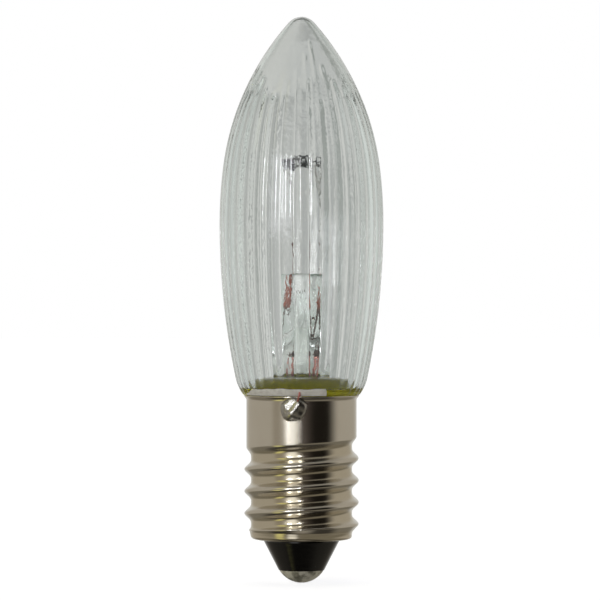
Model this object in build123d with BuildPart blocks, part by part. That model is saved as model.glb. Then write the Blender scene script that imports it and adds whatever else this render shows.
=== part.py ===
"""Clear ribbed candle bulb with an E10 screw cap.

The bulb stands upright on +Z, with its origin at the lowest point of the centre contact.
The side solder faces -Y, and +X is to its right. Radii and heights are in millimetres.
"""
from build123d import *
import math
import os

os.makedirs("parts", exist_ok=True)

# Envelope outline: tangent arcs in the meridian plane, widest at the belly
BELLY_RADIUS = 6.745
BELLY_Z = 29.5
LOWER_ARC = 61.5
BELLY_ARC = 38.0
BELLY_ARC_TURN = 7.0
OGIVE_ARC = 22.0
TIP_ARC = 1.4
SHOULDER_ARC = 3.7
SHOULDER_Z = 16.9
GLASS_WALL = 0.45
FLATNESS = 1e-6

# Sections of the glass, as shares of the way from shoulder to belly and from belly to tip
LOWER_SHARES = (0.0, 0.286, 0.643, 1.0)
UPPER_SHARES = (0.27, 0.416, 0.545, 0.651, 0.756, 0.862, 0.932, 0.973, 0.991, 0.999)
SHOULDER_SHARE = 0.5
HOLLOW_LOWER_SHARES = (0.024, 0.286, 0.643, 1.0)
HOLLOW_UPPER_SHARES = (0.277, 0.512, 0.722, 0.873, 0.957, 0.987)
HOLLOW_SIDES = 30

# Ribs of the envelope: full up to the fade, gone at the top, so that the tip is smooth
RIB_COUNT = 36
RIB_SHARE = 0.015
RIB_FADE_SHARE = 0.545
RIB_TOP_SHARE = 0.756

# Neck of the envelope, inside the skirt, and the seat for the flare of the stem
NECK_GAP = 0.34
NECK_WALL = 0.4
NECK_SIDES = 24
NECK_LENGTH = 1.57
SEAL_WALL = 0.32
SEAL_FLOOR = 0.38
SEAL_HEIGHT = 0.4

# Glass stem: flare, tube, flat pinch and the tube it was exhausted through
STEM_RADIUS = 1.75
STEM_WALL = 0.4
STEM_SIDES = 24
FLARE_TOP_INSET = 0.25
FLARE_MOUTH_INSET = 0.15
FLARE_START_Z = 18.2
STEM_TUBE_TOP_Z = 21.0
PINCH_BOTTOM_Z = 22.8
PINCH_TOP_Z = 25.4
PINCH_THICKNESS = 1.5
EXHAUST_RADIUS = 0.65
EXHAUST_WALL = 0.2
EXHAUST_TIP_Z = 9.6
EXHAUST_TIP_LENGTH = 1.2
EXHAUST_TIP_RADIUS = 0.2
EXHAUST_HOLE_RADIUS = 0.3
EXHAUST_HOLE_RISE = 0.9

# Lead wires and filament, in a plane turned about the axis
MOUNT_TURN = -25.0
WIRE_SIDES = 8
LEAD_OFFSET = 1.05
SEAL_WIRE_RADIUS = 0.15
KNOT_RADIUS = 0.24
LOWER_KNOT_Z = 19.0
UPPER_KNOT_Z = 27.8
INNER_LEAD_RADIUS = 0.09
INNER_LEAD_STRAIGHT = 1.2
OUTER_LEAD_RADIUS = 0.1
FILAMENT_Z = 34.3
FILAMENT_RISE = 0.35
FILAMENT_SPAN = 2.4
FILAMENT_COIL_RADIUS = 0.3
FILAMENT_STEPS = 6
FILAMENT_GRIP = 0.25
FILAMENT_LEG = 0.15

# Screw shell: E10 thread, skirt whose lower edge follows the last groove, flared rim
THREAD_RADIUS = 4.71
ROOT_RADIUS = 4.16
THREAD_PITCH = 1.814
THREAD_TURNS = 4.4
THREAD_START_Z = 2.996
TOOTH_BASE = 1.5
TOOTH_CREST = 0.3
TOOTH_STEPS = 30
SHELL_WALL = 0.25
SHELL_BOTTOM_Z = 3.42
SHELL_MOUTH_RADIUS = 3.1
BOTTOM_FLAT_RADIUS = 3.9
BOTTOM_ROLL = ((4.2, 3.62), (4.32, 4.0), (4.85, 4.9))
SKIRT_RADIUS = 4.54
SKIRT_EDGE_Z = 11.55
SKIRT_TILT = 6.7
SKIRT_FLANK = 0.45
SKIRT_FLANK_FOOT = 4.1
SKIRT_BORE_Z = 12.2
RIM_RADIUS = 4.76
RIM_Z = 15.27
RIM_FLARE = 0.4

# Insulator and centre contact
INSULATOR_FOOT_RADIUS = 1.88
INSULATOR_FOOT_Z = 1.05
INSULATOR_TOP_Z = 5.2
WIRE_HOLE_RADIUS = 0.9
PLATE_RADIUS = 1.65
PLATE_THICKNESS = 0.3
SOLDER_RADIUS = 1.84
CENTRE_LEAD_END_Z = 0.35
CENTRE_LEAD_TURN_Z = 8.2
CENTRE_LEAD_STRAIGHT_Z = 6.6

# Cement, which rises under the flare, and side solder
RIM_GAP = 0.25
CEMENT_DEPTH = 0.9
CEMENT_RISE = 0.86
CEMENT_HOLE_RADIUS = 1.5
SIDE_LEAD_DROP = 0.6
SIDE_LEAD_X = -0.1
SIDE_LEAD_REACH = 0.32
SIDE_LEAD_END_X = -0.3
SIDE_LEAD_END_OUT = 0.22
SIDE_LEAD_END_DROP = 0.57
SIDE_SOLDER_X = -0.55
SIDE_SOLDER_Z = 14.45
SIDE_SOLDER_BALL = 1.25
SIDE_SOLDER_HEIGHT = 0.45

# Places worked out from the sizes above
turn = math.radians(BELLY_ARC_TURN)
lower_centre = Vector(BELLY_RADIUS - LOWER_ARC, BELLY_Z)
belly_centre = Vector(BELLY_RADIUS - BELLY_ARC, BELLY_Z)
ogive_centre = belly_centre + Vector(math.cos(turn), math.sin(turn)) * (BELLY_ARC - OGIVE_ARC)
ogive_start_z = BELLY_Z + BELLY_ARC * math.sin(turn)
tip_rise = math.sqrt((OGIVE_ARC - TIP_ARC) ** 2 - ogive_centre.X**2)
tip_centre = Vector(0, ogive_centre.Y + tip_rise)
tip_z = tip_centre.Y + TIP_ARC
tip_start_z = tip_centre.Y + TIP_ARC * tip_rise / (OGIVE_ARC - TIP_ARC)
shoulder_fall = (SHOULDER_Z - BELLY_Z) * (LOWER_ARC - SHOULDER_ARC) / LOWER_ARC
shoulder_reach = math.sqrt((LOWER_ARC - SHOULDER_ARC) ** 2 - shoulder_fall**2)
shoulder_centre = lower_centre + Vector(shoulder_reach, shoulder_fall)
glass_foot_z = RIM_Z + RIM_GAP
seal_z = glass_foot_z + SEAL_FLOOR
seal_top_z = seal_z + SEAL_HEIGHT
rib_fade_z = BELLY_Z + (tip_z - BELLY_Z) * RIB_FADE_SHARE
rib_top_z = BELLY_Z + (tip_z - BELLY_Z) * RIB_TOP_SHARE
neck_end_z = RIM_Z - NECK_LENGTH
cement_bottom_z = neck_end_z - CEMENT_DEPTH
cement_top_z = seal_z + CEMENT_RISE
side_lead_turn_z = neck_end_z - SIDE_LEAD_DROP
thread_bore = ROOT_RADIUS - SHELL_WALL
skirt_bore = SKIRT_RADIUS - SHELL_WALL
rim_bore = RIM_RADIUS - SHELL_WALL
mouth_bore = min(skirt_bore, rim_bore)
neck_radius = mouth_bore - NECK_GAP
neck_bore = neck_radius - NECK_WALL
stem_bore = STEM_RADIUS - STEM_WALL
flare_mouth_radius = neck_bore - FLARE_MOUTH_INSET
shell_floor_z = SHELL_BOTTOM_Z + SHELL_WALL
plate_top_z = INSULATOR_FOOT_Z + PLATE_THICKNESS
mount = Plane.XY.rotated((0, 0, MOUNT_TURN))
skirt_plane = Plane((0, 0, SKIRT_EDGE_Z)).rotated((0, -SKIRT_TILT, 0))


def body_radius(z, inset=0.0):
    """Radius over the rib crests at a height, or of the inner wall when inset."""
    if z < SHOULDER_Z:
        centre, arc = shoulder_centre, SHOULDER_ARC
    elif z < BELLY_Z:
        centre, arc = lower_centre, LOWER_ARC
    elif z < ogive_start_z:
        centre, arc = belly_centre, BELLY_ARC
    elif z < tip_start_z:
        centre, arc = ogive_centre, OGIVE_ARC
    else:
        centre, arc = tip_centre, TIP_ARC
    return centre.X + math.sqrt((arc - inset) ** 2 - (z - centre.Y) ** 2)


seal_radius = body_radius(glass_foot_z) * (1 - RIB_SHARE) - SEAL_WALL


def section_heights(lower_shares, upper_shares, top_z):
    """Heights of a row of sections below and above the belly."""
    lower = [SHOULDER_Z + (BELLY_Z - SHOULDER_Z) * share for share in lower_shares]
    upper = [BELLY_Z + (top_z - BELLY_Z) * share for share in upper_shares]
    return lower + upper


def ring(z, radius, sides):
    """Corners of a regular section at a height."""
    turns = [2 * math.pi * index / sides for index in range(sides)]
    return [Vector(radius * math.cos(turn), radius * math.sin(turn), z) for turn in turns]


def rib_ring(z):
    """Corners of one ribbed section: crests on the outline, valleys a share of the radius below."""
    fade = min(1, max(0, (rib_top_z - z) / (rib_top_z - rib_fade_z)))
    crests = ring(z, body_radius(z), 2 * RIB_COUNT)
    valleys = ring(z, body_radius(z) * (1 - RIB_SHARE * fade), 2 * RIB_COUNT)
    return [valleys[index] if index % 2 else crests[index] for index in range(2 * RIB_COUNT)]


def flat_faces(corners):
    """The quad as one face when it is flat, or else as two triangles."""
    a, b, c, d = corners
    off_plane = abs((b - a).cross(c - a).normalized().dot(d - a))
    pieces = [corners] if off_plane < FLATNESS else [(a, b, c), (a, c, d)]
    return [Face(Wire.make_polygon(piece)) for piece in pieces]


def ring_stack(rings):
    """Flat-faced solid through a row of rings with equal corner counts, closed at both ends."""
    faces = [Face(Wire.make_polygon(end)) for end in (rings[0], rings[-1])]
    for low, high in zip(rings, rings[1:]):
        for index in range(len(low)):
            faces += flat_faces((low[index - 1], low[index], high[index], high[index - 1]))
    return Solid(Shell(faces))


def prism(low_z, high_z, radius, sides):
    """Straight many-sided column between two heights, turned with the mount."""
    return mount * ring_stack([ring(z, radius, sides) for z in (low_z, high_z)])


def wire_along(route, radius):
    """Wire along a row of points, mitred at its bends, in the current part builder."""
    with BuildLine() as path:
        Polyline(*route)
    with BuildSketch(Plane(path.line @ 0, z_dir=path.line % 0)) as section:
        RegularPolygon(radius, WIRE_SIDES)
    sweep(section.sketch, path=path.line, transition=Transition.RIGHT)


# Glass envelope: ribbed body with a smooth tip, neck, then the hollow inside
with BuildPart() as glass_envelope:
    shoulder_mid_z = glass_foot_z + (SHOULDER_Z - glass_foot_z) * SHOULDER_SHARE
    outline_heights = section_heights(LOWER_SHARES, UPPER_SHARES, tip_z)
    add(ring_stack([rib_ring(z) for z in (glass_foot_z, shoulder_mid_z, *outline_heights)]))
    add(prism(neck_end_z, glass_foot_z, neck_radius, NECK_SIDES))
    add(prism(neck_end_z, seal_z, neck_bore, NECK_SIDES), mode=Mode.SUBTRACT)
    add(prism(seal_z, seal_top_z, seal_radius, STEM_SIDES), mode=Mode.SUBTRACT)
    hollow_heights = section_heights(HOLLOW_LOWER_SHARES, HOLLOW_UPPER_SHARES, tip_z - GLASS_WALL)
    hollow_rings = [ring(z, body_radius(z, GLASS_WALL), HOLLOW_SIDES) for z in (seal_top_z, *hollow_heights)]
    add(ring_stack(hollow_rings), mode=Mode.SUBTRACT)


# Glass stem: flare sealed in the shoulder, tube, flat pinch with the exhaust hole through its foot
with BuildPart() as glass_stem:
    with BuildSketch(mount.offset(STEM_TUBE_TOP_Z)):
        RegularPolygon(STEM_RADIUS, STEM_SIDES)
    extrude(amount=PINCH_TOP_Z - STEM_TUBE_TOP_Z)
    with BuildSketch(Plane(mount.origin, x_dir=mount.y_dir, z_dir=mount.x_dir)):
        Polygon(
            (-STEM_RADIUS, STEM_TUBE_TOP_Z),
            (STEM_RADIUS, STEM_TUBE_TOP_Z),
            (PINCH_THICKNESS / 2, PINCH_BOTTOM_Z),
            (PINCH_THICKNESS / 2, PINCH_TOP_Z),
            (-PINCH_THICKNESS / 2, PINCH_TOP_Z),
            (-PINCH_THICKNESS / 2, PINCH_BOTTOM_Z),
            align=None,
        )
    extrude(amount=STEM_RADIUS, both=True, mode=Mode.INTERSECT)
    with BuildSketch(mount.offset(STEM_TUBE_TOP_Z)):
        RegularPolygon(EXHAUST_HOLE_RADIUS, WIRE_SIDES)
    extrude(amount=EXHAUST_HOLE_RISE, mode=Mode.SUBTRACT)
    with BuildSketch(Plane((0, 0, STEM_TUBE_TOP_Z + EXHAUST_HOLE_RISE), z_dir=-mount.y_dir)):
        RegularPolygon(EXHAUST_HOLE_RADIUS, WIRE_SIDES)
    extrude(amount=STEM_RADIUS, mode=Mode.SUBTRACT)
    add(prism(seal_z, seal_top_z, seal_radius, STEM_SIDES))
    flare_rings = [
        ring(seal_top_z, seal_radius - FLARE_TOP_INSET, STEM_SIDES),
        ring(FLARE_START_Z, STEM_RADIUS, STEM_SIDES),
        ring(STEM_TUBE_TOP_Z, STEM_RADIUS, STEM_SIDES),
    ]
    add(mount * ring_stack(flare_rings))
    bore_rings = [
        ring(seal_z, flare_mouth_radius, STEM_SIDES),
        ring(FLARE_START_Z - STEM_WALL, stem_bore, STEM_SIDES),
        ring(STEM_TUBE_TOP_Z, stem_bore, STEM_SIDES),
    ]
    add(mount * ring_stack(bore_rings), mode=Mode.SUBTRACT)


# Exhaust tube: drawn to a closed tip inside the cap
with BuildPart() as exhaust_tube:
    tip_end_z = EXHAUST_TIP_Z + EXHAUST_TIP_LENGTH
    tube_rings = [
        ring(EXHAUST_TIP_Z, EXHAUST_TIP_RADIUS, STEM_SIDES),
        ring(tip_end_z, EXHAUST_RADIUS, STEM_SIDES),
        ring(STEM_TUBE_TOP_Z, EXHAUST_RADIUS, STEM_SIDES),
    ]
    add(ring_stack(tube_rings))
    with BuildSketch(Plane.XY.offset(tip_end_z)):
        RegularPolygon(EXHAUST_RADIUS - EXHAUST_WALL, STEM_SIDES)
    extrude(amount=STEM_TUBE_TOP_Z - tip_end_z, mode=Mode.SUBTRACT)


# Filament line: the middle of the coil, an arch between the inner leads
coil_radius = (FILAMENT_SPAN**2 / 4 + FILAMENT_RISE**2) / (2 * FILAMENT_RISE)
coil_half_turn = math.asin(FILAMENT_SPAN / 2 / coil_radius)
coil_line = []
for step in range(FILAMENT_STEPS + 1):
    angle = coil_half_turn * (2 * step / FILAMENT_STEPS - 1)
    drop = coil_radius * (1 - math.cos(angle))
    coil_line.append(Vector(coil_radius * math.sin(angle), 0, FILAMENT_Z + FILAMENT_RISE - drop))
coil_outward = (coil_line[-1] - coil_line[-2]).normalized()


# Inner leads: nickel wires bent at the top into the ends of the coil
def inner_lead(side):
    """Nickel wire on one side (-1 left, 1 right), from the upper knot into the end of the coil."""
    corners = [
        Vector(LEAD_OFFSET, 0, UPPER_KNOT_Z),
        Vector(LEAD_OFFSET, 0, UPPER_KNOT_Z + INNER_LEAD_STRAIGHT),
        coil_line[-1] + coil_outward * FILAMENT_LEG,
        coil_line[-1] - coil_outward * FILAMENT_GRIP,
    ]
    with BuildPart() as lead:
        route = [mount.from_local_coords(Vector(side * p.X, p.Y, p.Z)) for p in corners]
        wire_along(route, INNER_LEAD_RADIUS)
    return lead


inner_lead_left = inner_lead(-1)
inner_lead_right = inner_lead(1)


# Filament: the outer form of the coil, gripped at both ends by the inner leads
with BuildPart() as filament:
    wire_along([mount.from_local_coords(point) for point in coil_line], FILAMENT_COIL_RADIUS)
    add(inner_lead_left.part, mode=Mode.SUBTRACT)
    add(inner_lead_right.part, mode=Mode.SUBTRACT)


# Outer leads: copper wires from the lower knots, one to the centre contact and one over the rim
with BuildPart() as centre_lead:
    centre_route = [
        mount.from_local_coords((LEAD_OFFSET, 0, LOWER_KNOT_Z)),
        mount.from_local_coords((LEAD_OFFSET, 0, CENTRE_LEAD_TURN_Z)),
        (0, 0, CENTRE_LEAD_STRAIGHT_Z),
        (0, 0, CENTRE_LEAD_END_Z),
    ]
    wire_along(centre_route, OUTER_LEAD_RADIUS)

with BuildPart() as side_lead:
    side_lead_y = -(neck_radius + mouth_bore) / 2
    side_lead_end_y = -max(RIM_RADIUS, SKIRT_RADIUS + SIDE_LEAD_END_OUT)
    side_lead_exit_z = RIM_Z + RIM_GAP / 2
    side_route = [
        mount.from_local_coords((-LEAD_OFFSET, 0, LOWER_KNOT_Z)),
        mount.from_local_coords((-LEAD_OFFSET, 0, side_lead_turn_z)),
        (SIDE_LEAD_X, side_lead_y, side_lead_turn_z),
        (SIDE_LEAD_X, side_lead_y, side_lead_exit_z),
        (SIDE_LEAD_X, side_lead_end_y - SIDE_LEAD_REACH, side_lead_exit_z),
        (SIDE_LEAD_END_X, side_lead_end_y, RIM_Z - SIDE_LEAD_END_DROP),
    ]
    wire_along(side_route, OUTER_LEAD_RADIUS)


# Seal wires: straight through the pinch, with a weld knot round the leads at each end
def seal_wire(side, upper_lead, lower_lead):
    """Copper-clad wire on one side (-1 left, 1 right), joined to the leads above and below it."""
    with BuildPart() as wire:
        ends = [mount.from_local_coords((side * LEAD_OFFSET, 0, z)) for z in (LOWER_KNOT_Z, UPPER_KNOT_Z)]
        wire_along(ends, SEAL_WIRE_RADIUS)
        for end in ends:
            half_knot = Vector(0, 0, KNOT_RADIUS)
            wire_along([end - half_knot, end + half_knot], KNOT_RADIUS)
        add(upper_lead.part, mode=Mode.SUBTRACT)
        add(lower_lead.part, mode=Mode.SUBTRACT)
    return wire


seal_wire_left = seal_wire(-1, inner_lead_left, side_lead)
seal_wire_right = seal_wire(1, inner_lead_right, centre_lead)

with glass_stem:
    add(seal_wire_left.part, mode=Mode.SUBTRACT)
    add(seal_wire_right.part, mode=Mode.SUBTRACT)


# Screw shell: threaded body below the skirt edge, skirt and flared rim above it
def tooth_ring(turns):
    """Section of the thread tooth after a number of turns of the helix."""
    tooth_height = THREAD_RADIUS - ROOT_RADIUS
    flank = (TOOTH_BASE - TOOTH_CREST) / 2 / tooth_height
    foot = SHELL_WALL / 2
    points = []
    for rise, side in ((-foot, -1), (tooth_height, -1), (tooth_height, 1), (-foot, 1)):
        radius = ROOT_RADIUS + rise
        angle = 2 * math.pi * turns
        z = THREAD_START_Z + THREAD_PITCH * turns + side * (TOOTH_BASE / 2 - flank * rise)
        points.append(Vector(radius * math.cos(angle), radius * math.sin(angle), z))
    return points


with BuildPart() as thread_body:
    with BuildSketch(Plane.XY.offset(SHELL_BOTTOM_Z)):
        RegularPolygon(ROOT_RADIUS, TOOTH_STEPS)
    extrude(amount=RIM_Z - SHELL_BOTTOM_Z)
    steps = range(round(THREAD_TURNS * TOOTH_STEPS) + 1)
    add(ring_stack([tooth_ring(step / TOOTH_STEPS) for step in steps]))
    split(bisect_by=skirt_plane, keep=Keep.BOTTOM)
    roll_rings = [ring(SHELL_BOTTOM_Z, BOTTOM_FLAT_RADIUS, TOOTH_STEPS)]
    roll_rings += [ring(z, radius, TOOTH_STEPS) for radius, z in BOTTOM_ROLL]
    roll_rings.append(ring(RIM_Z, BOTTOM_ROLL[-1][0], TOOTH_STEPS))
    add(ring_stack(roll_rings), mode=Mode.INTERSECT)

with BuildPart() as skirt_body:
    with BuildSketch(Plane.XZ):
        Polygon(
            (0, SHELL_BOTTOM_Z),
            (SKIRT_RADIUS, SHELL_BOTTOM_Z),
            (SKIRT_RADIUS, RIM_Z - RIM_FLARE),
            (RIM_RADIUS, RIM_Z),
            (0, RIM_Z),
            align=None,
        )
    revolve(axis=Axis.Z)
    split(bisect_by=skirt_plane, keep=Keep.TOP)
    stretch = 1 / math.cos(math.radians(SKIRT_TILT))
    with BuildSketch(skirt_plane):
        Ellipse(SKIRT_RADIUS * stretch, SKIRT_RADIUS)
    with BuildSketch(skirt_plane.offset(-SKIRT_FLANK)):
        Ellipse(SKIRT_FLANK_FOOT * stretch, SKIRT_FLANK_FOOT)
    loft()

with BuildPart() as screw_shell:
    add(thread_body.part)
    add(skirt_body.part)
    with BuildSketch(Plane.XZ):
        Polygon(
            (0, SHELL_BOTTOM_Z),
            (SHELL_MOUTH_RADIUS, SHELL_BOTTOM_Z),
            (SHELL_MOUTH_RADIUS, shell_floor_z),
            (thread_bore, shell_floor_z),
            (thread_bore, SKIRT_BORE_Z),
            (skirt_bore, SKIRT_BORE_Z),
            (skirt_bore, RIM_Z - RIM_FLARE),
            (rim_bore, RIM_Z),
            (0, RIM_Z),
            align=None,
        )
    revolve(axis=Axis.Z, mode=Mode.SUBTRACT)


# Insulator: black glass pressed into the foot of the shell, with a hole for the lead
with BuildPart() as insulator:
    with BuildSketch(Plane.XZ):
        Polygon(
            (PLATE_RADIUS, INSULATOR_FOOT_Z),
            (INSULATOR_FOOT_RADIUS, INSULATOR_FOOT_Z),
            (SHELL_MOUTH_RADIUS, SHELL_BOTTOM_Z),
            (SHELL_MOUTH_RADIUS, shell_floor_z),
            (thread_bore, shell_floor_z),
            (thread_bore, INSULATOR_TOP_Z),
            (0, INSULATOR_TOP_Z),
            (0, plate_top_z),
            (PLATE_RADIUS, plate_top_z),
            align=None,
        )
    revolve(axis=Axis.Z)
    with BuildSketch(Plane.XY.offset(plate_top_z)):
        RegularPolygon(WIRE_HOLE_RADIUS, WIRE_SIDES)
    extrude(amount=INSULATOR_TOP_Z - plate_top_z, mode=Mode.SUBTRACT)


# Contact plate: brass disc in the foot of the insulator
with BuildPart() as contact_plate:
    with BuildSketch(Plane.XY.offset(INSULATOR_FOOT_Z)):
        Circle(PLATE_RADIUS)
    extrude(amount=PLATE_THICKNESS)
    add(centre_lead.part, mode=Mode.SUBTRACT)


# Contact solder: dome over the plate, with the end of the centre lead in it
with BuildPart() as contact_solder:
    with BuildSketch(Plane.XZ):
        with BuildLine():
            dome_radius = (SOLDER_RADIUS**2 + INSULATOR_FOOT_Z**2) / (2 * INSULATOR_FOOT_Z)
            dome = RadiusArc((0, 0), (SOLDER_RADIUS, INSULATOR_FOOT_Z), -dome_radius)
            Polyline(dome @ 1, (0, INSULATOR_FOOT_Z), dome @ 0)
        make_face()
    revolve(axis=Axis.Z)
    add(centre_lead.part, mode=Mode.SUBTRACT)


# Basing cement: fills the skirt round the neck, the neck itself and the space under the flare
with BuildPart() as basing_cement:
    with BuildSketch(Plane.XZ):
        Polygon(
            (0, cement_bottom_z),
            (skirt_bore, cement_bottom_z),
            (skirt_bore, RIM_Z - RIM_FLARE),
            (rim_bore, RIM_Z),
            (rim_bore, glass_foot_z),
            (0, glass_foot_z),
            align=None,
        )
    revolve(axis=Axis.Z)
    add(prism(neck_end_z, glass_foot_z, neck_radius, NECK_SIDES), mode=Mode.SUBTRACT)
    flare_slope = (flare_mouth_radius - stem_bore) / (FLARE_START_Z - STEM_WALL - seal_z)
    plug_rings = [
        ring(neck_end_z, neck_bore, NECK_SIDES),
        ring(seal_z, neck_bore, NECK_SIDES),
        ring(seal_z, flare_mouth_radius, NECK_SIDES),
        ring(cement_top_z, flare_mouth_radius - flare_slope * CEMENT_RISE, NECK_SIDES),
    ]
    add(mount * ring_stack(plug_rings))
    add(prism(cement_bottom_z, cement_top_z, CEMENT_HOLE_RADIUS, NECK_SIDES), mode=Mode.SUBTRACT)
    add(side_lead.part, mode=Mode.SUBTRACT)


# Side solder: blob on the skirt at the end of the side lead
with BuildPart() as side_solder:
    ball_y = -(SKIRT_RADIUS + SIDE_SOLDER_HEIGHT - SIDE_SOLDER_BALL)
    seat_radius = max(RIM_RADIUS, SKIRT_RADIUS)
    with Locations((SIDE_SOLDER_X, ball_y, SIDE_SOLDER_Z)):
        Sphere(SIDE_SOLDER_BALL)
    with BuildSketch(Plane.XZ):
        Polygon(
            (0, SHELL_BOTTOM_Z),
            (SKIRT_RADIUS, SHELL_BOTTOM_Z),
            (SKIRT_RADIUS, RIM_Z - RIM_FLARE),
            (seat_radius, RIM_Z),
            (seat_radius, SHOULDER_Z),
            (0, SHOULDER_Z),
            align=None,
        )
    revolve(axis=Axis.Z, mode=Mode.SUBTRACT)
    add(side_lead.part, mode=Mode.SUBTRACT)


nodes = {
    "glass_envelope": glass_envelope,
    "glass_stem": glass_stem,
    "exhaust_tube": exhaust_tube,
    "seal_wire_left": seal_wire_left,
    "seal_wire_right": seal_wire_right,
    "inner_lead_left": inner_lead_left,
    "inner_lead_right": inner_lead_right,
    "filament": filament,
    "centre_lead": centre_lead,
    "side_lead": side_lead,
    "screw_shell": screw_shell,
    "insulator": insulator,
    "contact_plate": contact_plate,
    "contact_solder": contact_solder,
    "basing_cement": basing_cement,
    "side_solder": side_solder,
}
for name, node in nodes.items():
    node.part.label = name
    export_step(node.part, f"parts/{name}.step")
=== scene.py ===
"""Clear ribbed candle bulb with an E10 screw cap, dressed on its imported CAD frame."""
import math

import bpy
import numpy as np
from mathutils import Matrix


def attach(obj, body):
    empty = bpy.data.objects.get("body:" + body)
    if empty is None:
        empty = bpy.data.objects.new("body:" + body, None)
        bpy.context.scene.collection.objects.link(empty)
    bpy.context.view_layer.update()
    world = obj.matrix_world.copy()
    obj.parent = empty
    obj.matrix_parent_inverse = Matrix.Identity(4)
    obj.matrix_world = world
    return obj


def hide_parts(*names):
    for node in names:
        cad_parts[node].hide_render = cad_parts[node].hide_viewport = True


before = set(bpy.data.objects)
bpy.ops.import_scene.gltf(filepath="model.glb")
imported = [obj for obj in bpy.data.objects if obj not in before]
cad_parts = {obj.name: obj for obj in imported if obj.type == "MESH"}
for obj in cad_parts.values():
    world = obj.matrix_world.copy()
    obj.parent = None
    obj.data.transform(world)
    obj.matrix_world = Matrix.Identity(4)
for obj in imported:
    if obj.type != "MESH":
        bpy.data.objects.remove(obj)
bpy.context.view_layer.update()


# Glass envelope with its stem
# Soda-lime glass blown in a ribbed mould, with a flared stem melted into its foot.
# The ribs show outside and faintly inside, and die out below the tip, each at its own height.
MM = 0.001
BELLY_RADIUS = 6.745
BELLY_Z = 29.5
LOWER_ARC = 61.5
BELLY_ARC = 38.0
BELLY_ARC_TURN = math.radians(7.0)
OGIVE_ARC = 22.0
TIP_ARC = 1.4
SHOULDER_ARC = 3.7
SHOULDER_Z = 16.9
FOOT_Z = 15.52
INNER_FOOT_Z = 16.12
GLASS_WALL = 0.34
TIP_THINNING = 0.1
TIP_THINNING_START_Z = 44.0
TIP_THINNING_END_Z = 46.2
OUTER_DETAIL = 4
INNER_DETAIL = 3
RIB_COUNT = 36
RIB_SAMPLES = 16
INNER_RIB_SAMPLES = 10
RIB_DEPTH = 0.09
INNER_RIB_DEPTH = 0.03
RIB_CROWN_POWER = 1.3
HOLLOW_END_Z = 41.3
HOLLOW_END_SPREAD = 1.2
TALL_HOLLOWS = {26: 42.2, 27: 43.6, 28: 44.6, 29: 42.6}
HOLLOW_GAIN_SPREAD = 0.3
HOLLOW_GAINS = {24: 1.5, 25: 0.5, 26: 0.5}
FADE_BELOW_END = 0.5
FADE_ABOVE_END = 0.15
DENT_GAIN = 0.8
DENT_BELOW_END = 0.55
DENT_REACH = 0.45
MOUNT_TURN = math.radians(-25.0)

lower_centre = np.array([BELLY_RADIUS - LOWER_ARC, BELLY_Z])
belly_centre = np.array([BELLY_RADIUS - BELLY_ARC, BELLY_Z])
belly_end = np.array([math.cos(BELLY_ARC_TURN), math.sin(BELLY_ARC_TURN)])
ogive_centre = belly_centre + belly_end * (BELLY_ARC - OGIVE_ARC)
tip_rise = math.sqrt((OGIVE_ARC - TIP_ARC) ** 2 - ogive_centre[0] ** 2)
tip_centre = np.array([0.0, ogive_centre[1] + tip_rise])
tip_angle = math.atan2(tip_rise, -ogive_centre[0])
shoulder_angle = math.asin((SHOULDER_Z - BELLY_Z) / LOWER_ARC)
shoulder_way = np.array([math.cos(shoulder_angle), math.sin(shoulder_angle)])
shoulder_centre = lower_centre + shoulder_way * (LOWER_ARC - SHOULDER_ARC)


def arc_points(centre, arc, start, end, count, inset):
    """Points of an outline arc as (radius, height), pulled in by the inset."""
    angles = np.linspace(start, end, count)
    ways = np.stack([np.cos(angles), np.sin(angles)], axis=1)
    return centre + ways * (arc - inset)


def body_outline(inset, foot_z, detail):
    """Outline from the tip to the foot of the glass, as (radius, height)."""
    foot_angle = math.asin((foot_z - shoulder_centre[1]) / (SHOULDER_ARC - inset))
    runs = [
        arc_points(tip_centre, TIP_ARC, math.pi / 2 - 0.02, tip_angle, 9 * detail, inset),
        arc_points(ogive_centre, OGIVE_ARC, tip_angle, BELLY_ARC_TURN, 32 * detail, inset)[1:],
        arc_points(belly_centre, BELLY_ARC, BELLY_ARC_TURN, 0.0, 8 * detail, inset)[1:],
        arc_points(lower_centre, LOWER_ARC, 0.0, shoulder_angle, 18 * detail, inset)[1:],
        arc_points(shoulder_centre, SHOULDER_ARC, shoulder_angle, foot_angle, 9 * detail, inset)[1:],
    ]
    return np.concatenate(runs)


def turned(outline, columns):
    """Rings of (x, y, z) of an outline turned about the axis, one ring for each of its points."""
    turns = np.linspace(0, 2 * math.pi, columns, endpoint=False)
    radius = outline[:, 0][:, None]
    height = np.repeat(outline[:, 1][:, None], columns, axis=1)
    return np.stack([radius * np.cos(turns), radius * np.sin(turns), height], axis=2)


def ring_mesh(name, shells, inward=()):
    """One mesh from several closed shells of rings; each shell is capped by a point at both ends.

    The shells whose numbers are in inward have their faces turned to the axis.
    """
    verts = []
    faces = []
    for number, rings in enumerate(shells):
        base = len(verts)
        rows, columns = rings.shape[:2]
        verts += (rings.reshape(-1, 3) * MM).tolist()
        index = base + np.arange(rows * columns).reshape(rows, columns)
        side = np.roll(index, -1, axis=1)
        quads = np.stack([index[:-1], index[1:], side[1:], side[:-1]], axis=2).reshape(-1, 4)
        shell = quads.tolist()
        for row, flip in ((0, False), (rows - 1, True)):
            verts.append((rings[row].mean(axis=0) * MM).tolist())
            tip = len(verts) - 1
            fan = np.stack([index[row], side[row]], axis=1).tolist()
            shell += [(b, a, tip) if flip else (a, b, tip) for a, b in fan]
        if number in inward:
            shell = [face[::-1] for face in shell]
        faces += shell
    mesh = bpy.data.meshes.new(name)
    mesh.from_pydata(verts, [], faces)
    mesh.shade_smooth()
    piece = bpy.data.objects.new(name, mesh)
    bpy.context.scene.collection.objects.link(piece)
    return piece


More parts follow.
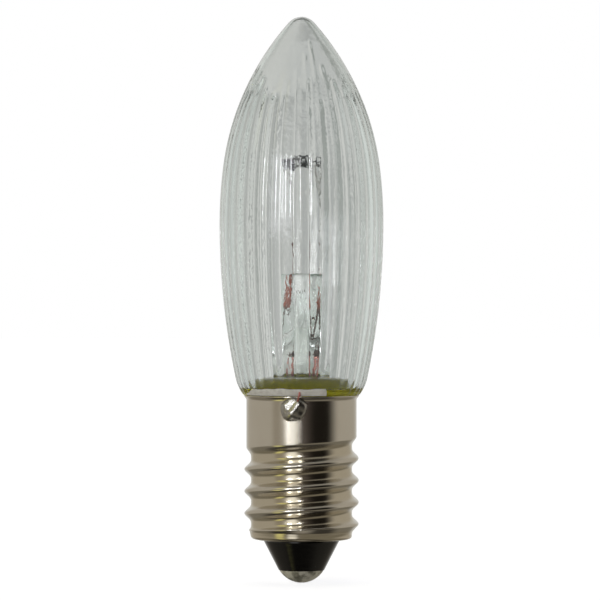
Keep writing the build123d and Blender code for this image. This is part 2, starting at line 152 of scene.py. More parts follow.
def smooth_step(low, high, value):
    """0 below low, 1 above high, with an even turn between them."""
    share = np.clip((value - low) / (high - low), 0, 1)
    return share * share * (3 - 2 * share)


chance = np.random.default_rng(7)
hollow_end = HOLLOW_END_Z + HOLLOW_END_SPREAD * chance.uniform(-1, 1, RIB_COUNT)
for hollow, end in TALL_HOLLOWS.items():
    hollow_end[hollow] = end
hollow_gain = 1 + HOLLOW_GAIN_SPREAD * chance.uniform(-1, 1, RIB_COUNT)
for hollow, gain in HOLLOW_GAINS.items():
    hollow_gain[hollow] = gain


def ribbed(rings, depth):
    """The rings with the hollows between the ribs pressed in; each hollow ends in its own rounded dent."""
    turn_share = np.arange(rings.shape[1]) / rings.shape[1] * RIB_COUNT
    hollow = turn_share.astype(int)
    end = hollow_end[hollow]
    height = rings[:, :, 2]
    reach = np.hypot(rings[:, :, 0], rings[:, :, 1])
    crown = np.abs(np.cos(math.pi * turn_share)) ** RIB_CROWN_POWER
    dent = 1 + DENT_GAIN * np.exp(-(((height - end + DENT_BELOW_END) / DENT_REACH) ** 2))
    fade = 1 - smooth_step(end - FADE_BELOW_END, end + FADE_ABOVE_END, height)
    dip = depth * hollow_gain[hollow] * (1 - crown) * fade * dent * reach / BELLY_RADIUS
    pressed = rings.copy()
    pressed[:, :, :2] *= (1 - dip / reach)[:, :, None]
    return pressed


columns = RIB_COUNT * RIB_SAMPLES
outer_outline = body_outline(0.0, FOOT_Z, OUTER_DETAIL)
outer = ribbed(turned(outer_outline, columns), RIB_DEPTH)

foot_outline = np.array([
    (4.77, 15.46), (4.68, 15.43), (4.4, 15.43), (4.1, 15.42), (4.0, 15.36), (3.95, 15.2), (3.95, 14.4),
    (3.95, 13.8), (3.9, 13.72), (3.75, 13.7), (3.6, 13.72), (3.55, 13.8), (3.55, 14.6), (3.55, 15.3),
    (3.62, 15.42), (3.8, 15.48), (4.15, 15.53), (4.36, 15.6), (4.44, 15.72), (4.44, 15.82), (4.38, 15.9),
    (4.3, 16.0), (4.18, 16.14), (4.03, 16.32), (3.84, 16.5), (3.6, 16.65), (3.3, 16.74), (2.95, 16.78),
    (2.5, 16.81), (2.18, 16.97), (1.93, 17.3), (1.76, 17.85), (1.66, 18.4), (1.5, 18.9), (1.28, 19.4),
    (1.06, 19.95), (0.84, 20.5), (0.64, 21.0), (0.52, 21.55), (0.42, 22.1), (0.32, 22.65), (0.22, 23.2),
    (0.12, 23.7), (0.02, 24.1),
])
exterior = np.concatenate([outer, turned(foot_outline, columns)])

inner_columns = RIB_COUNT * INNER_RIB_SAMPLES
inner_outline = body_outline(GLASS_WALL, INNER_FOOT_Z, INNER_DETAIL)
thinning = smooth_step(TIP_THINNING_START_Z, TIP_THINNING_END_Z, inner_outline[:, 1])
inner_outline[:, 1] += TIP_THINNING * thinning
inner_wall = ribbed(turned(inner_outline, inner_columns), INNER_RIB_DEPTH)
flare_outline = np.array([
    (4.72, 16.05), (4.64, 16.0), (4.55, 15.99), (4.47, 16.02), (4.4, 16.1), (4.3, 16.24), (4.16, 16.42),
    (3.95, 16.61), (3.68, 16.77), (3.36, 16.86), (3.0, 16.9), (2.6, 16.94), (2.3, 17.06), (2.06, 17.36),
    (1.88, 17.9), (1.79, 18.5), (1.75, 19.0),
])
flare = turned(flare_outline, inner_columns)


def on_mount(along, z, across=0.0):
    """Points (x, y, z) given along the plane of the leads, by height, and across that plane."""
    x = along * math.cos(MOUNT_TURN) - across * math.sin(MOUNT_TURN)
    y = along * math.sin(MOUNT_TURN) + across * math.cos(MOUNT_TURN)
    return np.stack(np.broadcast_arrays(x, y, z), axis=-1)


pinch_rows = []
inner_angle = np.linspace(0, 2 * math.pi, inner_columns, endpoint=False)
for height, width, thickness, power in (
    (19.5, 1.75, 1.66, 2.0), (20.1, 1.75, 1.53, 2.0), (20.7, 1.74, 1.38, 2.0), (21.3, 1.73, 1.22, 2.1),
    (21.9, 1.72, 1.07, 2.2), (22.5, 1.71, 0.94, 2.3), (23.1, 1.7, 0.84, 2.4), (23.7, 1.68, 0.77, 2.4),
    (24.3, 1.66, 0.73, 2.4), (24.9, 1.64, 0.7, 2.4), (25.25, 1.62, 0.68, 2.4), (25.36, 1.58, 0.64, 2.3),
    (25.41, 1.48, 0.55, 2.2), (25.43, 1.2, 0.4, 2.1), (25.435, 0.5, 0.12, 2.0),
):
    along = np.sign(np.cos(inner_angle)) * np.abs(np.cos(inner_angle)) ** (2 / power) * width
    across = np.sign(np.sin(inner_angle)) * np.abs(np.sin(inner_angle)) ** (2 / power) * thickness
    pinch_rows.append(on_mount(along, height, across))
pinch_shift = round(MOUNT_TURN / (2 * math.pi) * inner_columns)
pinch = np.roll(np.array(pinch_rows), pinch_shift, axis=1)
interior = np.concatenate([inner_wall, flare, pinch])

glass = ring_mesh("ribbed_glass", [exterior, interior], inward=(1,))


class Socket:
    """An output in a node tree. Arithmetic on it adds Math nodes."""

    def __init__(self, tree, output=None):
        self.tree = tree
        self.output = output

    def node(self, kind, settings=None, inputs=None, out=0):
        """New node of a kind, with its settings made first, then its inputs set or linked."""
        made = self.tree.nodes.new(kind)
        for key, value in (settings or {}).items():
            setattr(made, key, value)
        for key, value in (inputs or {}).items():
            if isinstance(value, Socket):
                self.tree.links.new(value.output, made.inputs[key])
            else:
                made.inputs[key].default_value = value
        return Socket(self.tree, made.outputs[out])

    def maths(self, operation, *others):
        """Math node on this value and the others, in that order."""
        return self.node("ShaderNodeMath", {"operation": operation}, dict(enumerate((self, *others))))

    def step(self, low, high):
        """0 below low, 1 above high, with a smooth turn between them."""
        limits = {"Value": self, "From Min": low, "From Max": high}
        return self.node("ShaderNodeMapRange", {"interpolation_type": "SMOOTHSTEP"}, limits)

    def mix(self, first, second):
        """First colour where this value is 0, second where it is 1."""
        return self.node("ShaderNodeMix", {"data_type": "RGBA"}, {0: self, 6: first, 7: second}, out=2)

    def feed(self, node, key):
        """Link this value to an input of a node."""
        self.tree.links.new(self.output, node.inputs[key])

    def __add__(self, other):
        return self.maths("ADD", other)

    def __sub__(self, other):
        return self.maths("SUBTRACT", other)

    def __rsub__(self, other):
        return self.node("ShaderNodeMath", {"operation": "SUBTRACT"}, {0: other, 1: self})

    def __mul__(self, other):
        return self.maths("MULTIPLY", other)

    __radd__ = __add__
    __rmul__ = __mul__


def new_finish(name, constants):
    """Material with its own Principled shader; returns it, the shader node and a socket to build from."""
    material = bpy.data.materials.new(name)
    material.use_nodes = True
    shader = material.node_tree.nodes["Principled BSDF"]
    for key, value in constants.items():
        shader.inputs[key].default_value = value
    return material, shader, Socket(material.node_tree)


def place(start):
    """Object coordinates in millimetres."""
    metres = start.node("ShaderNodeTexCoord", out="Object")
    return start.node("ShaderNodeVectorMath", {"operation": "SCALE"}, {0: metres, "Scale": 1 / MM})


def axis(vector, letter):
    """One axis of a vector: X, Y or Z."""
    return vector.node("ShaderNodeSeparateXYZ", None, {0: vector}, out=letter)


def noise(vector, scale, detail=3.0, roughness=0.5):
    """Noise value from 0 to 1 at a scale per millimetre."""
    inputs = {"Vector": vector, "Scale": scale, "Detail": detail, "Roughness": roughness}
    return vector.node("ShaderNodeTexNoise", None, inputs)


def stretched(vector, factors):
    """The vector with each axis scaled by its own factor."""
    return vector.node("ShaderNodeVectorMath", {"operation": "MULTIPLY"}, {0: vector, 1: factors})


def bump(height, depth, strength=1.0):
    """Normal from a height field; depth is what a height of 1 stands for, in millimetres."""
    inputs = {"Height": height, "Distance": depth * MM, "Strength": strength}
    return height.node("ShaderNodeBump", None, inputs)


clear_glass, shader, start = new_finish("clear_glass", {
    "Base Color": (0.95, 0.962, 0.952, 1.0),
    "Roughness": 0.0,
    "IOR": 1.5,
    "Transmission Weight": 1.0,
})
vector = place(start)
waves = noise(stretched(vector, (1.0, 1.0, 0.35)), 0.9, 2.0)
beads = noise(vector, 3.2, 2.0)
bump(waves * 0.018 + beads * 0.006, 1.0).feed(shader, "Normal")
glass.data.materials.append(clear_glass)
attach(glass, "root")
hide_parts("glass_envelope", "glass_stem")


# Exhaust tube
# Thin glass tube the bulb was emptied through, melted shut inside the cap.
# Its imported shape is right, so it only gets the glass of the stem.
stem_glass, shader, start = new_finish("stem_glass", {
    "Base Color": (0.975, 0.985, 0.975, 1.0),
    "Roughness": 0.0,
    "IOR": 1.5,
    "Transmission Weight": 1.0,
})
vector = place(start)
bump(noise(vector, 1.5), 0.03, 0.3).feed(shader, "Normal")


def dress(node, finish):
    """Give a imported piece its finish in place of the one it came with."""
    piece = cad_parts[node]
    piece.data.materials.clear()
    piece.data.materials.append(finish)


dress("exhaust_tube", stem_glass)


# Seal wires
# Copper-clad iron wires pressed into the hot pinch; the copper turns red where glass wets it.
# Each ends in a lumpy weld to the thinner wires above and below.
LEAD_OFFSET = 1.05
LOWER_KNOT_Z = 19.0
UPPER_KNOT_Z = 27.8
BARE_WIRE_RADIUS = 0.04
SEAL_WIRE_RADIUS = 0.065
KNOT_RADIUS = 0.13
KNOT_REACH = 0.22
WIRE_PAST_KNOT = 0.35
RED_START_Z = (22.3, 22.9)
RED_END_Z = (25.2, 25.7)
THICK_START_Z = (22.4, 22.9)
THICK_END_Z = (25.2, 25.6)


def smooth_line(corners, count):
    """Even points on a smooth curve through the corners of a route."""
    corners = np.array(corners, float)
    padded = np.concatenate([[2 * corners[0] - corners[1]], corners, [2 * corners[-1] - corners[-2]]])
    line = []
    for index in range(len(corners) - 1):
        a, b, c, d = padded[index:index + 4]
        for share in np.linspace(0, 1, count, endpoint=False):
            bend = 2 * a - 5 * b + 4 * c - d + (3 * b - a - 3 * c + d) * share
            line.append(b + 0.5 * share * (c - a + share * bend))
    line.append(corners[-1])
    return np.array(line)


def wire_rings(line, radii, sides=16):
    """Rings of a round wire along a line, with a radius for each point, turned without twist."""
    ways = np.gradient(line, axis=0)
    ways /= np.linalg.norm(ways, axis=1)[:, None]
    side = np.cross(ways[0], (0.31, 0.87, 0.38))
    turns = np.linspace(0, 2 * math.pi, sides, endpoint=False)
    rings = []
    for point, way, radius in zip(line, ways, radii):
        side = side - way * side.dot(way)
        side /= np.linalg.norm(side)
        up = np.cross(way, side)
        rings.append(point + radius * (np.cos(turns)[:, None] * side - np.sin(turns)[:, None] * up))
    return np.array(rings)


seal_finish, shader, start = new_finish("copper_clad", {"Metallic": 0.55, "Roughness": 0.45})
vector = place(start)
z = axis(vector, "Z")
in_pinch = z.step(*RED_START_Z) * (1 - z.step(*RED_END_Z))
mottle = noise(vector, 3.0)
red = mottle.mix((0.5, 0.09, 0.055, 1), (0.8, 0.27, 0.19, 1))
bare = mottle.mix((0.16, 0.09, 0.08, 1), (0.28, 0.17, 0.15, 1))
in_pinch.mix(bare, red).feed(shader, "Base Color")

for side, node in ((-1, "seal_wire_left"), (1, "seal_wire_right")):
    heights = np.linspace(LOWER_KNOT_Z - WIRE_PAST_KNOT, UPPER_KNOT_Z + WIRE_PAST_KNOT, 120)
    line = on_mount(side * LEAD_OFFSET, heights)
    swell = np.zeros(len(heights))
    for knot in (LOWER_KNOT_Z, UPPER_KNOT_Z):
        swell += np.exp(-((heights - knot) / KNOT_REACH) ** 2)
    glassed = smooth_step(*THICK_START_Z, heights) * (1 - smooth_step(*THICK_END_Z, heights))
    radii = BARE_WIRE_RADIUS + (SEAL_WIRE_RADIUS - BARE_WIRE_RADIUS) * glassed
    radii += (KNOT_RADIUS - BARE_WIRE_RADIUS) * np.clip(swell, 0, 1)
    wire = ring_mesh(f"{node}_round", [wire_rings(line, radii)])
    wire.data.materials.append(seal_finish)
    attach(wire, "root")
    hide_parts(node)


# Inner leads
# Bright nickel wires that rise from the upper welds and hook into the ends of the coil.
# They lean a little outwards on the way up.
INNER_LEAD_RADIUS = 0.055
FILAMENT_Z = 34.3
FILAMENT_SPAN = 2.4
FILAMENT_RISE = 0.35

nickel_wire, shader, start = new_finish("nickel_wire", {"Metallic": 1.0, "Roughness": 0.35})
vector = place(start)
noise(vector, 4.0).mix((0.34, 0.33, 0.31, 1), (0.5, 0.48, 0.46, 1)).feed(shader, "Base Color")

for side, node in ((-1, "inner_lead_left"), (1, "inner_lead_right")):
    route = [
        on_mount(side * LEAD_OFFSET, UPPER_KNOT_Z),
        on_mount(side * LEAD_OFFSET, 29.0),
        on_mount(side * 1.12, 31.5),
        on_mount(side * 1.28, 34.05),
        on_mount(side * 1.22, 34.3),
        on_mount(side * 1.02, 34.42),
    ]
    line = smooth_line(route, 10)
    lead = ring_mesh(f"{node}_round", [wire_rings(line, np.full(len(line), INNER_LEAD_RADIUS))])
    lead.data.materials.append(nickel_wire)
    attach(lead, "root")
    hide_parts(node)


# Filament
# Tungsten wire wound to a fine coil, hung as a low arch between the hooks of the inner leads.
# Its turns are uneven, closer together and coarser towards the left lead.
COIL_RADIUS = 0.46
COIL_RADIUS_SWAY = 0.22
COIL_TURNS = 12
COIL_TURN_SAMPLES = 24
COIL_CROWDING = 0.6
COIL_TURN_SWAY = 0.012
COIL_WIRE_LEFT = 0.0575
COIL_WIRE_LOSS = 0.02

arch = (FILAMENT_SPAN**2 / 4 + FILAMENT_RISE**2) / (2 * FILAMENT_RISE)
half_turn = math.asin(FILAMENT_SPAN / 2 / arch)
shares = np.linspace(0, 1, COIL_TURNS * COIL_TURN_SAMPLES)
arch_turn = half_turn * (2 * shares - 1)
winding = 2 * math.pi * COIL_TURNS * (shares**COIL_CROWDING + COIL_TURN_SWAY * np.sin(9 * shares))
coil_reach = COIL_RADIUS * (1 + COIL_RADIUS_SWAY * np.sin(23 * shares + 0.8))
out = arch + coil_reach * np.cos(winding)
along = out * np.sin(arch_turn)
rise = FILAMENT_Z + FILAMENT_RISE - arch + out * np.cos(arch_turn)
across = coil_reach * np.sin(winding)
line = on_mount(along, rise, across)
coil = ring_mesh("filament_coil", [wire_rings(line, COIL_WIRE_LEFT - COIL_WIRE_LOSS * shares, 8)])

tungsten, shader, start = new_finish("tungsten", {"Metallic": 0.9, "Roughness": 0.4})
vector = place(start)
noise(vector, 6.0).mix((0.03, 0.03, 0.033, 1), (0.1, 0.1, 0.105, 1)).feed(shader, "Base Color")
coil.data.materials.append(tungsten)
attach(coil, "root")
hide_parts("filament")


# Outer leads
# Soft copper wires from the lower welds: one runs down to the centre contact,
# the other comes out over the rim of the cap to the side solder.
OUTER_LEAD_RADIUS = 0.07
SIDE_LEAD_X = -0.1

copper, shader, start = new_finish("copper", {"Metallic": 0.85, "Roughness": 0.32})
vector = place(start)
noise(vector, 2.5).mix((0.5, 0.16, 0.14, 1), (0.72, 0.34, 0.3, 1)).feed(shader, "Base Color")

centre_route = [
    on_mount(LEAD_OFFSET, LOWER_KNOT_Z),
    on_mount(LEAD_OFFSET, 14.0),
    on_mount(LEAD_OFFSET, 8.8),
    on_mount(0.4, 7.2),
    (0, 0, 6.0),
    (0, 0, 3.0),
    (0, 0, 0.4),
]
side_route = [
    on_mount(-LEAD_OFFSET, LOWER_KNOT_Z),
    on_mount(-LEAD_OFFSET, 16.0),
    on_mount(-LEAD_OFFSET, 13.5),
    (-0.6, -2.0, 13.1),
    (SIDE_LEAD_X, -3.6, 13.2),
    (SIDE_LEAD_X, -4.12, 14.2),
    (SIDE_LEAD_X, -4.4, 15.36),
    (SIDE_LEAD_X - 0.02, -4.86, 15.47),
    (SIDE_LEAD_X - 0.06, -5.1, 15.76),
    (SIDE_LEAD_X - 0.12, -5.1, 15.42),
    (SIDE_LEAD_X - 0.2, -4.93, 15.12),
    (SIDE_LEAD_X - 0.25, -4.72, 14.85),
]
for route, node in ((centre_route, "centre_lead"), (side_route, "side_lead")):
    line = smooth_line(route, 12)
    lead = ring_mesh(f"{node}_round", [wire_rings(line, np.full(len(line), OUTER_LEAD_RADIUS))])
    lead.data.materials.append(copper)
    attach(lead, "root")
    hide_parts(node)


# Screw shell
# Thin brass drawn to a cup, nickel plated, its E10 thread rolled in; the last groove runs out
# behind, under the plain skirt, and the rim is flared to take the glass.
THREAD_RADIUS = 4.71
ROOT_RADIUS = 4.16
THREAD_PITCH = 1.814
THREAD_START_Z = 2.996
LAST_GROOVE = 4.0
GROOVE_RUN_OUT = 0.3
CREST_SHARPNESS = 1.65
SKIRT_RADIUS = 4.54
RIM_RADIUS = 4.76
RIM_Z = 15.4
RIM_FLARE_BELOW = 0.36
RIM_FLARE_PAST = 0.1
RIM_FLARE_GAIN = 1.15
SHELL_BOTTOM_Z = 3.56
THREAD_FOOT_Z = 4.6
THREAD_TOP_Z = 12.6
SHELL_COLUMNS = 360
FOOT_BLEND = 0.12
FOOT_ROLL = (
    (3.56, 3.72), (3.6, 3.93), (3.68, 4.09), (3.8, 4.18), (4.0, 4.22), (4.25, 4.28), (4.5, 4.48),
    (4.9, 4.85), (20.0, 9.0),
)


def shell_radius(turn, z):
    """Outer radius of the shell at a turn in radians and a height."""
    climb = (z - THREAD_START_Z) / THREAD_PITCH - turn / (2 * math.pi)
    wind = np.floor(climb)
    share = climb - wind
    lift = (0.5 + 0.5 * np.cos(2 * math.pi * share)) ** CREST_SHARPNESS
    turns = turn / (2 * math.pi) + wind
    step_down = THREAD_RADIUS - SKIRT_RADIUS
    crest_below = THREAD_RADIUS - step_down * smooth_step(LAST_GROOVE - 0.1, LAST_GROOVE + 0.5, turns)
    crest_above = THREAD_RADIUS - step_down * smooth_step(LAST_GROOVE - 1.1, LAST_GROOVE - 0.5, turns)
    crest = crest_below + (crest_above - crest_below) * smooth_step(0.3, 0.7, share)
    depth = 1 - smooth_step(LAST_GROOVE - 0.02, LAST_GROOVE + GROOVE_RUN_OUT, turns)
    threaded = crest - (crest - ROOT_RADIUS) * depth * (1 - lift)
    flaring = smooth_step(RIM_Z - RIM_FLARE_BELOW, RIM_Z + RIM_FLARE_PAST, z)
    flare = (RIM_RADIUS - SKIRT_RADIUS) * flaring * RIM_FLARE_GAIN
    roll = np.interp(z, *zip(*FOOT_ROLL))
    near = np.clip(0.5 + 0.5 * (roll - threaded) / FOOT_BLEND, 0, 1)
    return roll + (threaded - roll) * near - FOOT_BLEND * near * (1 - near) + flare


turn = np.linspace(0, 2 * math.pi, SHELL_COLUMNS, endpoint=False)[None, :]
roll_rows = np.linspace(SHELL_BOTTOM_Z, THREAD_FOOT_Z, 30)
thread_rows = np.linspace(THREAD_FOOT_Z, THREAD_TOP_Z, 190)[1:]
skirt_rows = np.linspace(THREAD_TOP_Z, RIM_Z, 30)[1:]
outer_rows = np.concatenate([roll_rows, thread_rows, skirt_rows])[:, None]
radius = shell_radius(turn, outer_rows)
outer_side = np.stack([radius * np.cos(turn), radius * np.sin(turn), outer_rows + 0 * turn], axis=2)
bottom = turned(np.array([(3.1, 3.64), (3.14, 3.57), (3.3, 3.56), (3.55, 3.56)]), SHELL_COLUMNS)
bore = turned(np.array([
    (4.68, 15.42), (4.58, 15.4), (4.5, 15.33), (4.36, 14.95), (4.29, 14.5), (4.29, 12.4), (4.2, 12.1),
    (3.93, 11.9), (3.91, 11.6), (3.91, 3.92), (3.8, 3.8), (3.3, 3.79), (3.14, 3.78), (3.1, 3.72),
]), SHELL_COLUMNS)
profile = np.concatenate([bottom, outer_side, bore])


def loop_mesh(name, rings):
    """Mesh of rings whose last ring joins the first again, with faces turned outwards."""
    rows, columns = rings.shape[:2]
    index = np.arange(rows * columns).reshape(rows, columns)
    above = np.roll(index, -1, axis=0)
    quads = np.stack([index, np.roll(index, -1, axis=1), np.roll(above, -1, axis=1), above], axis=2)
    mesh = bpy.data.meshes.new(name)
    mesh.from_pydata((rings.reshape(-1, 3) * MM).tolist(), [], quads.reshape(-1, 4).tolist())
    mesh.shade_smooth()
    piece = bpy.data.objects.new(name, mesh)
    bpy.context.scene.collection.objects.link(piece)
    return piece


shell = loop_mesh("rolled_shell", profile)
nickel_plate, shader, start = new_finish("nickel_plate", {"Metallic": 1.0})
vector = place(start)
x = axis(vector, "X")
y = axis(vector, "Y")
reach = (x * x + y * y).maths("SQRT")
streaks = noise(stretched(vector, (0.5, 0.5, 9.0)), 1.0, 4.0)
clouds = noise(vector, 0.45, 3.0)
groove = 1 - reach.step(4.2, 4.5)
plate = clouds.mix((0.62, 0.585, 0.51, 1), (0.7, 0.665, 0.595, 1))
(groove * 0.5).mix(plate, (0.6, 0.53, 0.38, 1)).feed(shader, "Base Color")
(0.1 + clouds * 0.08 + streaks * 0.05).feed(shader, "Roughness")
bump(streaks, 0.004, 0.5).feed(shader, "Normal")
shell.data.materials.append(nickel_plate)
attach(shell, "root")
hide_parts("screw_shell")


# Insulator
# Black glass pressed into the foot of the shell while hot; its packed cone is right.
# The surface is glossy, with a little dust and a few faint flow marks.
black_glass, shader, start = new_finish("black_glass", {"IOR": 1.5})
vector = place(start)
flow = noise(stretched(vector, (1.0, 1.0, 3.0)), 1.2, 4.0)
flow.mix((0.001, 0.001, 0.0012, 1), (0.004, 0.0038, 0.0035, 1)).feed(shader, "Base Color")
(0.04 + flow * 0.08).feed(shader, "Roughness")
bump(flow, 0.02, 0.4).feed(shader, "Normal")
dress("insulator", black_glass)


# Centre contact
# A brass plate in the foot of the insulator, hidden under a dome of dull grey solder.
# The solder set with a soft, uneven skin.
brass, shader, start = new_finish("brass", {"Metallic": 1.0})
vector = place(start)
tarnish = noise(vector, 1.5)
tarnish.mix((0.6, 0.44, 0.2, 1), (0.75, 0.6, 0.32, 1)).feed(shader, "Base Color")
(0.25 + tarnish * 0.2).feed(shader, "Roughness")
dress("contact_plate", brass)

solder, shader, start = new_finish("solder", {"Metallic": 0.85})
vector = place(start)
lumps = noise(vector, 1.3, 4.0)
grain = noise(vector, 7.0, 3.0)
lumps.step(0.36, 0.64).mix((0.3, 0.3, 0.25, 1), (0.95, 0.95, 0.87, 1)).feed(shader, "Base Color")
(0.4 + lumps * 0.25).feed(shader, "Roughness")
bump(lumps * 0.7 + grain * 0.3, 0.12, 0.6).feed(shader, "Normal")
dress("contact_solder", solder)


# Basing cement
# Baked olive cement that fills the skirt and the space under the flare, where it shows through
# the glass as a low dome. A thin pale strip on the glass foot over the rim in front is no cement:
# it is a painted reflection of the window in the foot of the glass.
cement_outline = np.array([
    (1.5, 12.9), (4.2, 12.8), (4.27, 12.9), (4.27, 14.6), (4.34, 14.9), (4.48, 15.2), (4.54, 15.3),
    (4.56, 15.4), (4.5, 15.46), (4.06, 15.45), (3.92, 15.4), (3.9, 13.8), (3.6, 13.8), (3.6, 15.28),
    (3.65, 15.4), (3.82, 15.45), (4.18, 15.5), (4.4, 15.58), (4.48, 15.71), (4.48, 15.84), (4.41, 15.93),
    (4.33, 16.03), (4.21, 16.17), (4.06, 16.35), (3.87, 16.53), (3.62, 16.69), (3.31, 16.78), (2.95, 16.82),
    (2.4, 16.83), (1.6, 16.83), (1.5, 16.75),
])
cement = loop_mesh("cement_fill", turned(cement_outline, 120))
cement_finish, shader, start = new_finish("cement", {"Roughness": 0.75})
vector = place(start)
crumbs = noise(vector, 2.2, 5.0, 0.6)
crumbs.mix((0.4, 0.35, 0.006, 1), (0.8, 0.7, 0.016, 1)).feed(shader, "Base Color")
bump(crumbs, 0.08, 0.6).feed(shader, "Normal")
cement.data.materials.append(cement_finish)
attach(cement, "root")
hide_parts("basing_cement")

# Painted reflection: a pale strip laid on the glass foot, from the front round to the left, in place of the
# window's reflection there.
BEAD_START = math.radians(-156.0)
BEAD_END = math.radians(-65.5)
BEAD_PROUD = 0.05
BEAD_TUCK = 0.06
BEAD_SEAT_Z = 15.5
BEAD_RISE = 0.54
BEAD_END_SHARE = 0.25
BEAD_START_TAPER = 0.35
BEAD_END_TAPER = 0.03
bead_turns = np.linspace(BEAD_START, BEAD_END, 90)
bead_taper = smooth_step(BEAD_START, BEAD_START + BEAD_START_TAPER, bead_turns)
bead_taper *= 1 - smooth_step(BEAD_END - BEAD_END_TAPER, BEAD_END, bead_turns)
bead_wave = 0.03 * np.sin(9 * bead_turns) + 0.02 * np.sin(23 * bead_turns + 1.0)
bead_fullness = BEAD_END_SHARE + (1 - BEAD_END_SHARE) * bead_taper
bead_top = BEAD_SEAT_Z + (BEAD_RISE + bead_wave) * bead_fullness
glass_side = outer_outline[::-1]
rows = []
for share, proud in (
    (0.0, -0.06), (0.0, 0.6), (0.3, 1.0), (0.6, 0.95), (0.85, 0.7), (1.0, 0.1), (0.95, -0.5), (0.5, -0.5),
):
    height = FOOT_Z - BEAD_TUCK + share * (bead_top - FOOT_Z + BEAD_TUCK)
    reach = np.interp(height, glass_side[:, 1], glass_side[:, 0]) + BEAD_PROUD * proud
    rows.append(np.stack([reach * np.cos(bead_turns), reach * np.sin(bead_turns), height], axis=1))
painted_strip = ring_mesh("painted_reflection_strip", [np.array(rows).transpose(1, 0, 2)])
# Pale mottled colour of the painted reflection strip.
painted_strip_finish, shader, start = new_finish("painted_reflection", {"Roughness": 0.8})
vector = place(start)
painted_reflection_mottle = noise(vector, 2.2, 5.0, 0.6)
painted_reflection_mottle.mix((0.5, 0.49, 0.45, 1), (0.95, 0.94, 0.9, 1)).feed(shader, "Base Color")
bump(painted_reflection_mottle, 0.06, 0.6).feed(shader, "Normal")
painted_strip.data.materials.append(painted_strip_finish)
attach(painted_strip, "root")


# Side solder
# A blob of solder set on the skirt over the end of the side lead.
# It cooled with a bright skin, a few dimples and a low lip where it wet the plate.
BLOB_X = -0.66
BLOB_Z = 14.42
BLOB_RADIUS = 1.08
BLOB_HEIGHT = 0.5
BLOB_FULLNESS = 3.2
BLOB_EDGE_POWER = 0.62
BLOB_SUNK = 0.04
BLOB_BASE_DEPTH = 0.15
DIMPLE_DEPTH = 0.13
RIPPLE_DEPTH = 0.06

rows = []
blob_turn = np.linspace(0, 2 * math.pi, 64, endpoint=False)
for share in np.linspace(1.0, 0.04, 26):
    wobble = 1 + 0.05 * np.sin(2 * blob_turn + 0.6) + 0.03 * np.sin(5 * blob_turn)
    side = BLOB_X + BLOB_RADIUS * share * wobble * np.cos(blob_turn)
    height = BLOB_Z + BLOB_RADIUS * share * wobble * np.sin(blob_turn)
    dimple = DIMPLE_DEPTH * np.sin(3.4 * side + 1.0) * np.sin(3.9 * height)
    dimple += RIPPLE_DEPTH * np.sin(7 * side - 4 * height)
    proud = BLOB_HEIGHT * (1 - share**BLOB_FULLNESS) ** BLOB_EDGE_POWER * (1 + dimple)
    arm = side / SKIRT_RADIUS
    out = SKIRT_RADIUS - BLOB_SUNK + proud
    rows.append(np.stack([out * np.sin(arm), -out * np.cos(arm), height], axis=1))
base = np.array(rows[0])
base[:, 1] += BLOB_BASE_DEPTH
blob = ring_mesh("side_solder_blob", [np.array([base] + rows)])

bright_solder, shader, start = new_finish("bright_solder", {"Metallic": 1.0})
vector = place(start)
skin = noise(vector, 1.6, 4.0)
skin.mix((0.33, 0.32, 0.3, 1), (0.6, 0.59, 0.56, 1)).feed(shader, "Base Color")
(0.16 + skin * 0.2).feed(shader, "Roughness")
bump(skin, 0.1, 0.6).feed(shader, "Normal")
blob.data.materials.append(bright_solder)
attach(blob, "root")
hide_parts("side_solder")


# Floor and room
# A plain pale floor under the contact, and a soft room with a tall window in front on the left, a dark
# corner in front on the right and pale walls. Through the glass the room is greyer, with upright slats.
floor_mesh = bpy.data.meshes.new("floor")
floor_mesh.from_pydata([(-2, -2, 0), (2, -2, 0), (2, 2, 0), (-2, 2, 0)], [], [(0, 1, 2, 3)])
floor = bpy.data.objects.new("floor", floor_mesh)
bpy.context.scene.collection.objects.link(floor)
floor.visible_glossy = False
floor.visible_transmission = False
pale_floor, shader, start = new_finish("pale_floor", {
    "Base Color": (0.8, 0.8, 0.8, 1),
    "Roughness": 0.9,
    "Specular IOR Level": 0.0,
    "Emission Strength": 1.0,
})
straight = start.node("ShaderNodeLightPath", out="Is Camera Ray")
straight.mix((0, 0, 0, 1), (0.73, 0.74, 0.77, 1)).feed(shader, "Emission Color")
floor_mesh.materials.append(pale_floor)

world = bpy.data.worlds.new("room")
bpy.context.scene.world = world
world.use_nodes = True
start = Socket(world.node_tree)
way = start.node("ShaderNodeTexCoord", out="Generated")
x, y, z = (axis(way, letter) for letter in "XYZ")
bearing = x.maths("ARCTAN2", 0 - y) * (180 / math.pi)
side = bearing.maths("ABSOLUTE")
lift = z.maths("ARCSINE") * (180 / math.pi)
steep = lift.maths("ABSOLUTE")


def band(value, low, high, soft):
    """1 between low and high, falling to 0 over a soft edge on each side."""
    return value.step(low - soft, low + soft) * (1 - value.step(high - soft, high + soft))


window_panes = band(lift, -0.8, 4.5, 0.5) + band(lift, 5.5, 11.5, 0.5) + band(lift, 12.5, 20, 0.5)
window = band(bearing, -48, -12, 2) * window_panes
gleam = band(bearing, -31, -26, 1) * band(lift, 3, 19, 2)
second_gleam = band(bearing, -7, -4, 0.8) * band(lift, 3, 19, 2)
GLEAM_LIGHT = (15.0, 15.2, 15.6, 1)

behind = side.step(140, 170)
left_shade = band(bearing, -62, -42, 7)
dark_corner = bearing.step(-13, 3) * (1 - bearing.step(55, 86))
corner_shade = bearing.step(2, 30).mix((0.072, 0.058, 0.05, 1), (0.012, 0.01, 0.008, 1))
below = 1 - lift.step(-30, -12)
window_wall = band(bearing, -38, -6, 6) * steep.step(14, 26)
window_glow = band(bearing, -33, -11, 6) * (1 - steep.step(24, 40))
yellow_lamp = band(bearing, -64, -44, 6) * band(steep, 22, 55, 6)
ceiling = lift.step(40, 70)
table_shade = 1 - lift.step(-60, -45)
table_middle = 1 - lift.step(-84, -72)

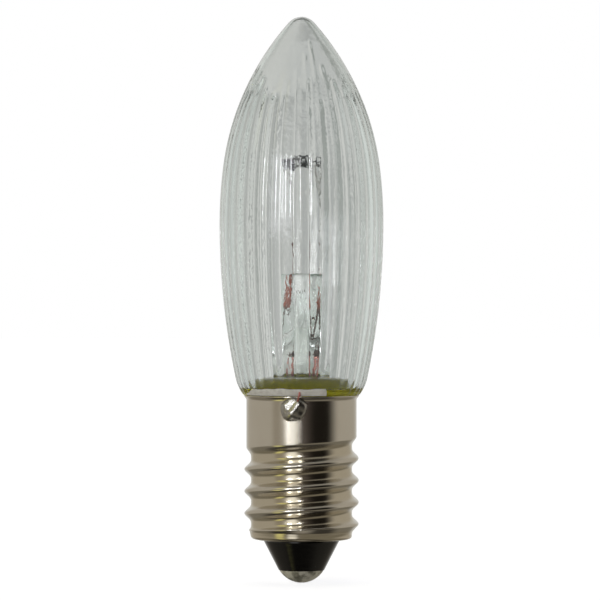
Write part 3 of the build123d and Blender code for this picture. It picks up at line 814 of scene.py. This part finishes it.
walls = behind.mix((0.47, 0.437, 0.38, 1), (0.72, 0.72, 0.7, 1))
walls = left_shade.mix(walls, (0.34, 0.305, 0.25, 1))
walls = dark_corner.mix(walls, corner_shade)
walls = below.mix(walls, (0.22, 0.2, 0.16, 1))
walls = window_wall.mix(walls, (0.1, 0.088, 0.068, 1))
walls = window_glow.mix(walls, (1.25, 1.23, 1.19, 1))
walls = yellow_lamp.mix(walls, (0.85, 0.8, 0.34, 1))
walls = ceiling.mix(walls, (0.3, 0.285, 0.255, 1))
walls = table_shade.mix(walls, (0.05, 0.045, 0.038, 1))
walls = table_middle.mix(walls, (0.4, 0.37, 0.32, 1))
walls = (gleam + second_gleam).mix(walls, GLEAM_LIGHT)

SLAT_SPACING = 40
right_half = x.step(-0.08, 0.05)
right_ground = lift.step(2.4, 3.7).mix((0.43, 0.435, 0.43, 1), (0.57, 0.575, 0.57, 1))
dark_strip = band(bearing, 168.5, 173.5, 1.5)
slats = 0.5 + 0.5 * (bearing * (2 * math.pi / SLAT_SPACING)).maths("SINE")
slat_wall = slats.mix((0.47, 0.505, 0.485, 1), (0.66, 0.7, 0.675, 1))

ground = right_half.mix((0.65, 0.65, 0.635, 1), right_ground)
ground = dark_strip.mix(ground, (0.34, 0.355, 0.34, 1))
ground = (1 - side.step(150, 172)).mix(ground, slat_wall)
ground = lift.step(20, 42).mix(ground, (0.15, 0.16, 0.15, 1))
ground = (1 - lift.step(-48, -25)).mix(ground, (0.16, 0.2, 0.17, 1))
ground = (1 - lift.step(-75, -55)).mix(ground, (0.42, 0.44, 0.42, 1))
ground = window.mix(ground, (3.2, 3.25, 3.45, 1))
ground = gleam.mix(ground, GLEAM_LIGHT)

through_glass = start.node("ShaderNodeLightPath", out="Is Transmission Ray")
straight = start.node("ShaderNodeLightPath", out="Is Camera Ray")
seen = straight.mix(through_glass.mix(walls, ground), (1, 1, 1, 1))
seen.feed(world.node_tree.nodes["Background"], "Color")


# Camera
# Level with the middle of the bulb and about a foot in front of it, as the photograph was taken.
# The frame is 600 pixels wide, and the bulb's axis stands a little to the right of its middle.
CAMERA_AWAY = 0.32
CAMERA_Z = 23.26
FRAME_PIXELS = 600
PIXELS_PER_MM = 12.15
AXIS_PIXELS_RIGHT = 1.5
SENSOR_WIDTH = 36
camera_data = bpy.data.cameras.new("camera")
camera_data.sensor_width = SENSOR_WIDTH
camera_data.lens = SENSOR_WIDTH * CAMERA_AWAY / (FRAME_PIXELS / PIXELS_PER_MM * MM)
camera_data.clip_start = 0.01
camera = bpy.data.objects.new("camera", camera_data)
camera.location = (-AXIS_PIXELS_RIGHT / PIXELS_PER_MM * MM, -CAMERA_AWAY, CAMERA_Z * MM)
camera.rotation_euler = (math.pi / 2, 0, 0)
bpy.context.scene.collection.objects.link(camera)
bpy.context.scene.camera = camera
bpy.context.scene.view_settings.view_transform = "Standard"
bpy.context.scene.cycles.max_bounces = 48
bpy.context.scene.cycles.glossy_bounces = 32
bpy.context.scene.cycles.transmission_bounces = 48
